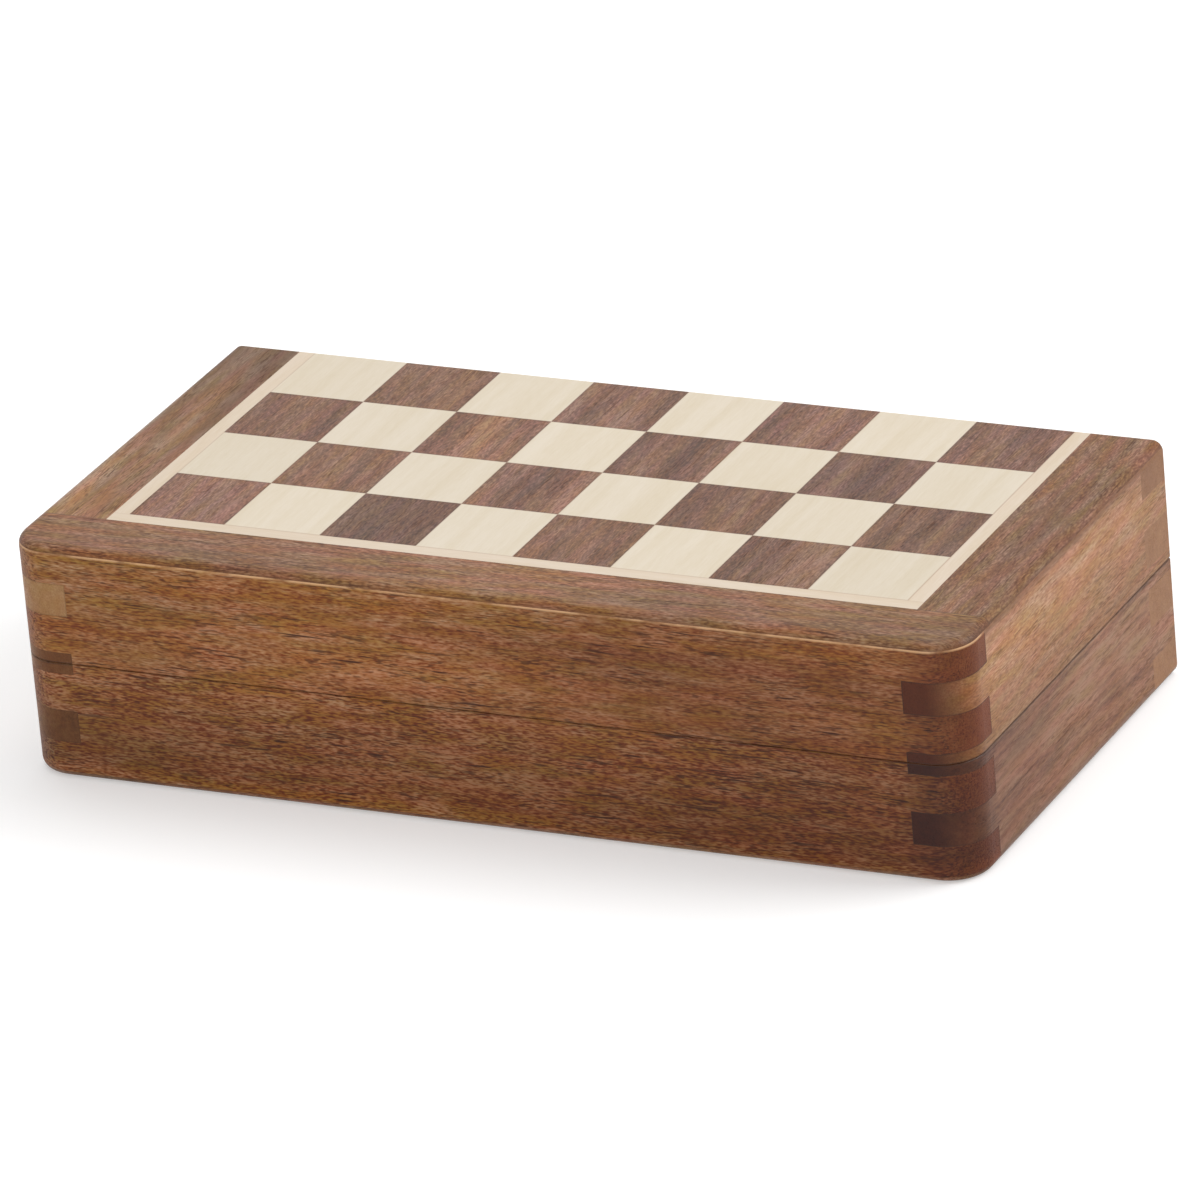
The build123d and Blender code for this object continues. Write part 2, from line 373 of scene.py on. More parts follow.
@dataclass(frozen=True)
class Wood:
    """What every wood here shares: a pattern that is laid and drawn out along its grain.

    Attributes:
        name: The material's name.
        grain: The way the grain runs.
        seed: Place in the log, in millimetres, so that no two boards are alike.
    """

    name: str
    grain: Grain = Grain.ALONG_X
    seed: Triple = (0, 0, 0)

    WANDER: ClassVar[float] = 2.2     # in millimetres, how far the grain strays from straight
    SWEEP: ClassVar[Figure] = Figure(60.0, 20.0)      # size of the bends in which it strays

    def along_grain(self, graph: Graph, place: Socket) -> Socket:
        """Turns the pattern into the board, with X along its grain and a slow wander across it.

        Args:
            graph: The material's graph.
            place: Place in the board, in millimetres.

        Returns:
            The pattern's coordinates in millimetres.
        """
        laid = graph.add("Mapping", {"Vector": place, "Location": self.seed,
                                     "Rotation": self.grain.turn})
        slow = graph.add("Mapping", {"Vector": laid, "Scale": self.SWEEP.scale})
        wander = graph.add("TexNoise", {"Vector": slow, "Scale": 1.0, "Detail": self.SWEEP.detail},
                           out="Color")
        return graph.add("VectorMath MULTIPLY_ADD", wander, (0, self.WANDER, self.WANDER), laid)

    def figure(self, graph: Graph, grain: Socket, size: Figure) -> Socket:
        """Noise drawn out along the grain.

        Args:
            graph: The material's graph.
            grain: The pattern's coordinates in millimetres.
            size: Size of the feature that it draws.

        Returns:
            A value about 0.5.
        """
        drawn = graph.add("Mapping", {"Vector": grain, "Scale": size.scale})
        return graph.add("TexNoise", {"Vector": drawn, "Scale": 1.0, "Detail": size.detail,
                                      "Roughness": 0.55})

    def end_grain(self, graph: Graph) -> Socket:
        """Mask of the faces that cut across the fibres, weaker the more they slant.

        Args:
            graph: The material's graph.

        Returns:
            A value from 0 to 1.
        """
        facing = graph.add("VectorMath DOT_PRODUCT", graph.normal, self.grain.direction,
                           out="Value")
        return graph.add("Math MULTIPLY", facing, facing)

    def lay(self, graph: Graph, colour: Socket, ends: Socket,
            layers: Sequence[Joints | Drift]) -> Socket:
        """Lays painted lines and changes of colour over a board's colour.

        Args:
            graph: The material's graph.
            colour: The colour before.
            ends: Mask of the end grain.
            layers: The lines and the changes, in order.

        Returns:
            The colour after.
        """
        for layer in layers:
            mask = layer.mask(graph, ends)
            colour = graph.add("Mix", {0: mask, 6: colour, 7: layer.tint}, **layer.BLENDING)
        return colour


@dataclass(frozen=True)
class Rosewood(Wood):
    """Sheesham, an Indian rosewood, planed, sanded flush and satin lacquered.

    Growth shows as soft golden and purple-brown bands, open pores as short dark dashes along
    the grain, end grain as a darker face, and the lacquer as a low, slightly uneven gloss.

    Attributes:
        dark: Colour of the dark growth.
        body: Colour of most of the wood.
        gold: Colour of the light growth.
        hues: Pairs of tints between which the wood wanders: olive and russet, grey and amber.
        pore: Colour in the open pores.
        band: Width of a growth band across the grain, in millimetres.
        length: Length of a growth band along the grain, in millimetres.
        growth: How far the bands leave the body colour.
        streak: How far the streaks, about 1 mm wide, leave it.
        fleck: How far the flecks, a few to the millimetre, leave it.
        fleck_length: Length of a fleck along the grain, in millimetres.
        cloud: How much the board's brightness drifts over some centimetres.
        mottle: How much the wandering hues show.
        pores: How dark the pores are, from 0 to 1.
        end_tint: What end grain multiplies the colour by.
        drifts: Slow changes of colour across the board.
        lines: Lines at joints, under the skin and at the seam, partly painted shade and highlight.
    """

    dark: str = "#763900"
    body: str = "#A37046"
    gold: str = "#B9906D"
    hues: tuple[tuple[str, str], ...] = (("#F2FFF9", "#FFE7DD"), ("#FFFFFF", "#E6DC8C"))
    pore: str = "#3E1A00"
    band: float = 3.4
    length: float = 70.0
    growth: float = 0.9
    streak: float = 0.8
    fleck: float = 2.0
    fleck_length: float = 1.35
    cloud: float = 0.7
    mottle: float = 1.0
    pores: float = 0.8
    end_tint: str = "#8F7468"
    drifts: tuple[Drift, ...] = ()
    lines: tuple[Joints, ...] = ()

    STREAKS: ClassVar[Figure] = Figure(14.0, 1.0)
    FLECK_WIDTH: ClassVar[float] = 0.30
    PATCHES: ClassVar[tuple[Figure, ...]] = (Figure(12.0, 2.2, 0.6), Figure(9.0, 1.8, 0.6))
    CLOUDS: ClassVar[Figure] = Figure(70.0, 22.0, 1.0)
    # vessels are 0.1 to 0.2 mm wide, and are drawn about 0.3 mm wide so that they show
    # each kind: its size, the noise's values where it starts and is full, and its depth
    DASHES: ClassVar[tuple[tuple[Figure, float, float, float], ...]] = (
        (Figure(1.9, 0.26, 0.0), 0.57, 0.69, 0.7), (Figure(6.5, 0.30, 0.0), 0.67, 0.75, 1.0))
    # the growth in which the pores crowd, the noise's values where they are few and where
    # they are many, and how much of them shows there
    CROWDS: ClassVar[Figure] = Figure(14.0, 3.5)
    FEW_AND_MANY: ClassVar[tuple[float, ...]] = (0.36, 0.6, 0.3, 1.0)
    # the noise's values where a patch has its first hue in full and where its second
    FIRST_AND_SECOND: ClassVar[Pair] = (0.34, 0.66)
    # how much of each still shows on end grain, beside one on the long grain
    END_MOTTLE: ClassVar[float] = 0.25
    END_PORES: ClassVar[float] = 0.3
    END_TONE: ClassVar[float] = 0.45
    # roughness of the dark and of the light growth, and its rise in the pores and on end grain
    ROUGH: ClassVar[Pair] = (0.46, 0.38)
    ROUGHER: ClassVar[Pair] = (0.18, 0.14)
    # height of the light growth for one of a pore's depth, that depth in mm, and its strength
    SWELL: ClassVar[float] = 0.25
    RELIEF: ClassVar[Pair] = (0.08, 0.35)

    def tone(self, graph: Graph, grain: Socket) -> Socket:
        """Growth bands and finer streaks as one value.

        Args:
            graph: The material's graph.
            grain: The pattern's coordinates in millimetres.

        Returns:
            A value from 0, dark, to 1, light.
        """
        weights = ((Figure(self.length, self.band, 3.0), self.growth),
                   (self.STREAKS, self.streak),
                   (Figure(self.fleck_length, self.FLECK_WIDTH, 1.0), self.fleck))
        total: Socket | float = 0.5 - sum(weight for _, weight in weights) / 2
        for size, weight in weights:
            noise = self.figure(graph, grain, size)
            total = graph.add("Math MULTIPLY_ADD", noise, weight, total)
        return total

    def pore_mask(self, graph: Graph, grain: Socket) -> Socket:
        """Dashes of open pore, thicker on the ground in some growth than in other.

        Args:
            graph: The material's graph.
            grain: The pattern's coordinates in millimetres.

        Returns:
            A value from 0 to 1, full in a pore.
        """
        dashes: Socket | float = 0.0
        for size, start, full, depth in self.DASHES:
            dash = self.figure(graph, grain, size)
            dash = graph.add("MapRange", dash, start, full, {4: depth})
            dashes = graph.add("Math MAXIMUM", dash, dashes)
        crowd = self.figure(graph, grain, self.CROWDS)
        crowd = graph.add("MapRange", crowd, *self.FEW_AND_MANY)
        return graph.add("Math MULTIPLY", dashes, crowd)

    def growth_colour(self, graph: Graph, grain: Socket, tone: Socket, ends: Socket) -> Socket:
        """Colour of the growth, with its wandering hues and its cloudy brightness.

        Args:
            graph: The material's graph.
            grain: The pattern's coordinates in millimetres.
            tone: Growth bands and streaks, from 0 to 1.
            ends: Mask of the end grain.

        Returns:
            The colour before the pores.
        """
        colour = graph.add("ValToRGB", tone, stops=(
            (0.05, self.dark), (0.95, self.gold), (0.5, self.body)))
        swing = graph.add("MapRange", ends, {3: self.mottle, 4: self.END_MOTTLE * self.mottle})
        for (cool, warm), size in zip(self.hues, self.PATCHES):
            patch = self.figure(graph, grain, size)
            patch = graph.add("MapRange", patch, *self.FIRST_AND_SECOND, -0.5, 0.5)
            patch = graph.add("Math MULTIPLY_ADD", patch, swing, 0.5)
            hue = graph.add("Mix", {0: patch, 6: cool, 7: warm}, **BLEND)
            colour = graph.add("VectorMath MULTIPLY", colour, hue)
        cloud = self.figure(graph, grain, self.CLOUDS)
        cloud = graph.add("Math MULTIPLY_ADD", cloud, self.cloud, 1 - self.cloud / 2)
        return graph.add("VectorMath SCALE", colour, {"Scale": cloud})

    def surface(self, graph: Graph, place: Socket, tint: Socket | None = None) -> Material:
        """Builds the wood on given coordinates.

        Args:
            graph: The material's graph.
            place: Place in the board, in millimetres.
            tint: A colour that multiplies the wood's, or nothing.

        Returns:
            The finished material.
        """
        grain = self.along_grain(graph, place)
        ends = self.end_grain(graph)
        pores = self.pore_mask(graph, grain)
        even = graph.add("MapRange", ends, {3: 0.0, 4: 1 - self.END_TONE})
        tone = graph.add("Mix", {0: even, 2: self.tone(graph, grain), 3: 0.5})
        colour = self.growth_colour(graph, grain, tone, ends)
        shown = graph.add("MapRange", ends, {3: self.pores, 4: self.END_PORES * self.pores})
        dark = graph.add("Math MULTIPLY", pores, shown)
        colour = graph.add("Mix", {0: dark, 6: colour, 7: self.pore}, **BLEND)
        colour = graph.add("Mix", {0: ends, 6: colour, 7: self.end_tint}, **STAIN)
        if tint is not None:
            colour = graph.add("Mix", {0: 1.0, 6: colour, 7: tint}, **STAIN)
        colour = self.lay(graph, colour, ends, (*self.drifts, *self.lines))
        rough = graph.add("MapRange", tone, 0.0, 1.0, *self.ROUGH)
        for mask, rise in zip((pores, ends), self.ROUGHER):
            rough = graph.add("Math MULTIPLY_ADD", mask, rise, rough)
        relief = graph.add("Math MULTIPLY", tone, self.SWELL)
        relief = graph.add("Math MULTIPLY_ADD", pores, -1.0, relief)
        return graph.finish(colour, rough, relief, self.RELIEF, LACQUER)

    def material(self) -> Material:
        """The finish of one board."""
        graph = Graph(self.name)
        return self.surface(graph, graph.place)


@dataclass(frozen=True)
class SquareGrid:
    """Where the squares of one board half lie.

    Attributes:
        corner: Lowest X and Y of the field, in millimetres.
        size: Side of a square, in millimetres.
    """

    corner: Pair
    size: float

    def count(self, graph: Graph) -> Socket:
        """Place counted in squares from the field's corner."""
        moved = graph.add("VectorMath SUBTRACT", graph.place, (*self.corner, 0.0))
        return graph.add("VectorMath MULTIPLY", moved, (1 / self.size, 1 / self.size, 0.0))

    def chance(self, graph: Graph) -> Socket:
        """A chance colour for each square."""
        number = graph.add("VectorMath FLOOR", self.count(graph))
        return graph.add("TexWhiteNoise", {"Vector": number}, out="Color", noise_dimensions="2D")

    def edge(self, graph: Graph, width: float) -> Socket:
        """Mask of the line round each square.

        Args:
            graph: The material's graph.
            width: Width of the line inside the square, in millimetres.

        Returns:
            One on the edge, zero inside.
        """
        part = graph.add("VectorMath FRACTION", self.count(graph))
        part = graph.add("VectorMath SUBTRACT", part, (0.5, 0.5, 0.0))
        part = graph.add("VectorMath ABSOLUTE", part)
        axes = graph.add("SeparateXYZ", part).node.outputs
        most = graph.add("Math MAXIMUM", axes[X], axes[Y])
        inset = width / self.size
        return graph.add("MapRange", most, 0.5 - inset, 0.5 - inset * Joints.CORE)


@dataclass(frozen=True)
class RosewoodSquares(Rosewood):
    """Squares cut from different rosewood veneers, each with its own tone and place in the log.

    Attributes:
        grid: Where the squares lie.
        spread_of_tone: How far a square's tone may leave the mean.
        redness: Red in the squares' tints, for one of green.
        edge_width: Width of the darker line round each square, in millimetres.
        edge_shade: What that line multiplies the colour by.
    """

    grid: SquareGrid = SquareGrid((0, 0), 1)
    spread_of_tone: float = 0.24
    redness: float = 1.04
    edge_width: float = 0.24
    edge_shade: float = 0.6

    # in millimetres, how far apart the squares may come from
    LOG_SIZE: ClassVar[Triple] = (173.0, 131.0, 97.0)

    def material(self) -> Material:
        """The finish of all the dark squares of one half.

        Returns:
            The finished material.
        """
        graph = Graph(self.name)
        chance = self.grid.chance(graph)
        moved = graph.add("VectorMath MULTIPLY_ADD", chance, self.LOG_SIZE, graph.place)
        pick = graph.add("SeparateColor", chance).node.outputs
        low = 1 - self.spread_of_tone
        tone = graph.add("MapRange", pick[0], {3: low, 4: 2 - low})
        warm = graph.add("MapRange", pick[1], {3: low, 4: 1.0})
        red = graph.add("Math MULTIPLY", tone, self.redness)
        blue = graph.add("Math MULTIPLY", tone, warm)
        tint = graph.add("CombineColor", red, tone, blue)
        edge = self.grid.edge(graph, self.edge_width)
        edge = graph.add("MapRange", edge, {3: 1.0, 4: self.edge_shade})
        tint = graph.add("VectorMath SCALE", tint, {"Scale": edge})
        return self.surface(graph, moved, tint)


@dataclass(frozen=True)
class Maple(Wood):
    """Hard maple veneer, sanded and satin lacquered.

    A close, nearly plain cream wood: faint yellowish growth, fine pale fibres and hardly any
    pores, so the gloss is even.

    Attributes:
        pale: Colour of most of the wood.
        straw: Colour of the growth lines.
        lines: Lines at the strip's joints.
        grid: Where the squares lie, or nothing on a strip.
        edge_width: Width of the line round each square, in millimetres.
        edge_tint: Colour of that line.
        edge_strength: How much of it shows, from 0 to 1.
    """

    pale: str = "#D7CBB8"
    straw: str = "#D0C2AA"
    lines: tuple[Joints, ...] = ()
    grid: SquareGrid | None = None
    edge_width: float = 0.2
    edge_tint: str = "#A07C62"
    edge_strength: float = 0.45

    LOG_SIZE: ClassVar[Triple] = (211.0, 157.0, 89.0)
    GROWTH: ClassVar[Figure] = Figure(45.0, 3.2, 3.0)
    FIBRES: ClassVar[Figure] = Figure(3.0, 0.3, 1.0)
    PALE_AND_STRAW: ClassVar[Pair] = (0.55, 0.98)     # the noise's values where each is full
    DULLEST: ClassVar[float] = 0.95                   # brightness of the darkest light square
    # the noise's values at the least and the greatest roughness, and these
    ROUGH: ClassVar[tuple[float, ...]] = (0.3, 0.7, 0.38, 0.44)
    RELIEF: ClassVar[Pair] = (0.04, 0.2)              # depth in millimetres, and strength

    def material(self) -> Material:
        """The finish of the strip or of all the light squares of one half.

        Returns:
            The finished material.
        """
        graph = Graph(self.name)
        place = graph.place
        if self.grid:
            chance = self.grid.chance(graph)
            place = graph.add("VectorMath MULTIPLY_ADD", chance, self.LOG_SIZE, place)
        grain = self.along_grain(graph, place)
        growth = self.figure(graph, grain, self.GROWTH)
        fibre = self.figure(graph, grain, self.FIBRES)
        tone = graph.add("Math MULTIPLY_ADD", fibre, 0.5, growth)
        tone = graph.add("MapRange", tone, *self.PALE_AND_STRAW)
        colour = graph.add("Mix", {0: tone, 6: self.pale, 7: self.straw}, **BLEND)
        if self.grid:
            shade = graph.add("SeparateColor", chance)
            shade = graph.add("MapRange", shade, {3: self.DULLEST, 4: 1.0})
            colour = graph.add("VectorMath SCALE", colour, {"Scale": shade})
            edge = self.grid.edge(graph, self.edge_width)
            edge = graph.add("Math MULTIPLY", edge, self.edge_strength)
            colour = graph.add("Mix", {0: edge, 6: colour, 7: self.edge_tint}, **BLEND)
        colour = self.lay(graph, colour, self.end_grain(graph), self.lines)
        rough = graph.add("MapRange", growth, *self.ROUGH)
        return graph.finish(colour, rough, fibre, self.RELIEF, LACQUER)


@dataclass(frozen=True)
class Plywood(Wood):
    """Birch plywood, raw: three plies whose edges show as light and dark lines.

    Attributes:
        bottom: Height of the panel's lower face, in millimetres.
        ply: Thickness of a ply, in millimetres.
        dark: Colour between the fibres.
        light: Colour of the fibres.
        cross: Colour of the middle ply, which shows its end grain.
    """

    bottom: float = 0.0
    ply: float = 1.0
    dark: str = "#B08D5F"
    light: str = "#D3B588"
    cross: str = "#8E6C46"

    FIBRES: ClassVar[Figure] = Figure(8.0, 0.6)
    RELIEF: ClassVar[Pair] = (0.1, 0.4)               # depth in millimetres, and strength

    def material(self) -> Material:
        """The finish of the panel.

        Returns:
            The finished material.
        """
        graph = Graph(self.name)
        fibre = self.figure(graph, self.along_grain(graph, graph.place), self.FIBRES)
        height = graph.add("SeparateXYZ", graph.place, out=Z)
        height = graph.add("Math SUBTRACT", height, self.bottom)
        layer = graph.add("Math MODULO", height, 2 * self.ply)
        middle = graph.add("Math GREATER_THAN", layer, self.ply)
        colour = graph.add("ValToRGB", fibre, stops=((0.3, self.dark), (0.7, self.light)))
        colour = graph.add("Mix", {0: middle, 6: colour, 7: self.cross}, **BLEND)
        return graph.finish(colour, 0.7, fibre, self.RELIEF)


@dataclass(frozen=True)
class Felt:
    """Pressed wool felt: short fibres lying every way, matt with a soft bright rim.

    Attributes:
        name: The material's name.
        deep: Colour between the fibres.
        light: Colour of the fibre tips.
        fibre: Tufts to the millimetre, along a fibre and across it.
        curl: Bends of the fibres to the millimetre.
        bend: How far they bend, in millimetres.
        rubbed: Patches of raised and of flattened nap, to the millimetre.
        relief: Depth of the nap in millimetres, and how much of it shows.
    """

    name: str
    deep: str = "#123D26"
    light: str = "#2F6B45"
    # fibres are about 0.03 mm thick, and are drawn as tufts of 0.25 mm so that they show
    fibre: Pair = (0.7, 4.0)
    curl: float = 0.9
    bend: float = 2.4
    rubbed: float = 0.09
    relief: Pair = (0.22, 0.7)

    # how a rough cloth of fine hairs takes the light at a low angle
    RIM: ClassVar[dict[str, object]] = {"Specular IOR Level": 0.2, "Sheen Weight": 0.18,
                                        "Sheen Roughness": 0.5, "Sheen Tint": "#A9CBB0"}

    def material(self) -> Material:
        """The finish of the lining and the dividers.

        Returns:
            The finished material.
        """
        graph = Graph(self.name)
        place = graph.place
        bend = graph.add("TexNoise", {"Vector": place, "Scale": self.curl, "Detail": 1.0},
                         out="Color")
        bent = graph.add("VectorMath MULTIPLY_ADD", bend, (self.bend,) * 3, place)
        along, across = self.fibre
        nap: Socket | float = 0.0
        for axis in (X, Y, Z):
            scale = [along if axis == way else across for way in (X, Y, Z)]
            drawn = graph.add("Mapping", {"Vector": bent, "Scale": scale})
            tufts = graph.add("TexNoise", {"Vector": drawn, "Scale": 1.0, "Detail": 2.0,
                                           "Roughness": 0.6})
            nap = graph.add("Math MAXIMUM", tufts, nap)
        cloud = graph.add("TexNoise", {"Vector": place, "Scale": self.rubbed, "Detail": 3.0})
        tone = graph.add("Math MULTIPLY_ADD", cloud, 0.55, nap)
        colour = graph.add("ValToRGB", tone, stops=((0.7, self.deep), (1.02, self.light)))
        return graph.finish(colour, 0.95, nap, self.relief, self.RIM)


class MetalTone(Enum):
    """A plated or solid metal: its fresh colour, its dulled colour and its roughness."""

    BRASS = ("#B28F55", "#967844", 0.40)
    NICKEL = ("#94918B", "#83807A", 0.38)
    STEEL = ("#B4B6B8", "#8C8E91", 0.34)


@dataclass(frozen=True)
class Metal:
    """Small metal goods: drawn or stamped, brushed along their length and a little dulled.

    Fine lines along X break up the gloss, and thin cloudy tarnish takes it down in patches.

    Attributes:
        name: The material's name.
        tone: Which metal it is.
        lines: Brush lines to the millimetre, along X and across it.
        patches: Patches of tarnish to the millimetre.
        dulling: How much rougher the tarnish is.
        relief: Depth of the lines in millimetres, and how much of it shows.
    """

    name: str
    tone: MetalTone
    lines: Pair = (0.25, 9.0)
    patches: float = 0.35
    dulling: float = 0.06
    relief: Pair = (0.01, 0.1)

    def material(self) -> Material:
        """The finish of the metal piece.

        Returns:
            The finished material.
        """
        fresh, dull, roughness = self.tone.value
        along, across = self.lines
        graph = Graph(self.name)
        drawn = graph.add("Mapping", {"Vector": graph.place, "Scale": (along, across, across)})
        lines = graph.add("TexNoise", {"Vector": drawn, "Scale": 1.0, "Detail": 2.0})
        cloud = graph.add("TexNoise", {"Vector": graph.place, "Scale": self.patches,
                                       "Detail": 4.0})
        worn = graph.add("MapRange", cloud, 0.45, 0.68)
        colour = graph.add("Mix", {0: worn, 6: fresh, 7: dull}, **BLEND)
        rough = graph.add("MapRange", lines, 0.3, 0.7, roughness - 0.06, roughness + 0.1)
        rough = graph.add("Math MULTIPLY_ADD", worn, self.dulling, rough)
        return graph.finish(colour, rough, lines, self.relief, {"Metallic": 1.0})


# ---------------------------------------------------------------- making pieces
def dress(node: str, material: Material) -> None:
    """Gives a CAD node its finish.

    Args:
        node: The node's name.
        material: The finish.
    """
    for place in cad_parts[node].material_slots:
        place.material = material
    LOG.info("%s: %s", node, material.name)


def new_object(name: str, data: bpy.types.ID) -> bpy.types.Object:
    """Adds an object to the scene.

    Args:
        name: Its name.
        data: Its mesh, lamp or camera.

    Returns:
        The new object.
    """
    thing = bpy.data.objects.new(name, data)
    bpy.context.scene.collection.objects.link(thing)
    return thing


def new_mesh(mesh: BMesh, name: str) -> bpy.types.Mesh:
    """Turns a bmesh, which is freed, into a mesh.

    Args:
        mesh: The bmesh.
        name: The mesh's name.

    Returns:
        The new mesh.
    """
    data = bpy.data.meshes.new(name)
    mesh.to_mesh(data)
    mesh.free()
    return data


def add_piece(mesh: BMesh, name: str, half: Half, material: Material,
              node: str, in_base: bool = True) -> bpy.types.Object:
    """Turns a bmesh into a named piece that rides on its half.

    Args:
        mesh: The shape in metres, which is freed. Its place is in its vertices.
        name: The piece's name.
        half: The half, and so the body, that it rides on.
        material: Its finish.
        node: The CAD node that it stands for.
        in_base: Whether it was drawn in the base's place, and is turned into its half's.

    Returns:
        The new object.
    """
    if in_base:
        bmesh.ops.transform(mesh, matrix=half.turn, verts=mesh.verts)
    bmesh.ops.recalc_face_normals(mesh, faces=mesh.faces)
    piece = new_object(name, new_mesh(mesh, name))
    piece.data.materials.append(material)
    piece.data.shade_smooth()
    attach(piece, half.value)
    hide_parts(node)
    LOG.info("%s: %d faces, rides on %s", name, len(piece.data.polygons), half.value)
    return piece


def box_mesh(low: Vector, high: Vector) -> BMesh:
    """A bmesh box.

    Args:
        low: Its lowest corner, in metres.
        high: Its highest corner, in metres.

    Returns:
        The box's bmesh.
    """
    mesh = bmesh.new()
    place = Matrix.Translation((low + high) / 2) @ Matrix.Diagonal((*(high - low), 1))
    bmesh.ops.create_cube(mesh, size=1.0, matrix=place)
    return mesh


def round_edges(mesh: BMesh, edges: Iterable[bmesh.types.BMEdge], radius: float,
                segments: int) -> None:
    """Rounds some edges of a bmesh.

    Args:
        mesh: The bmesh.
        edges: The edges.
        radius: Radius of the rounding, in millimetres.
        segments: Faces across the rounding. One makes a chamfer.
    """
    bmesh.ops.bevel(mesh, geom=list(edges), offset=radius * MM, affect="EDGES",
                    segments=segments, profile=0.5, material=-1)


def add_rod(mesh: BMesh, place: Matrix, size: Pair, sides: int, rim: float,
            segments: int) -> None:
    """Adds a cylinder with rounded rims to a bmesh.

    Args:
        mesh: The bmesh that gets it.
        place: Where its middle goes, and how its axis turns away from Z.
        size: Its radius and its length, in metres.
        sides: Faces round it.
        rim: Radius of its rims, in millimetres.
        segments: Faces across a rim.
    """
    radius, length = size
    made = bmesh.ops.create_cone(mesh, cap_ends=True, segments=sides, radius1=radius,
                                 radius2=radius, depth=length, matrix=place)
    rims = dict.fromkeys(e for v in made["verts"] for e in v.link_edges
                         if any(len(f.verts) == sides for f in e.link_faces))
    round_edges(mesh, rims, rim, segments)


def join(target: BMesh, part: BMesh) -> None:
    """Copies one bmesh into another and frees it.

    Args:
        target: The bmesh that gets the copy.
        part: The bmesh that is copied.
    """
    data = new_mesh(part, "part")
    target.from_mesh(data)
    bpy.data.meshes.remove(data)


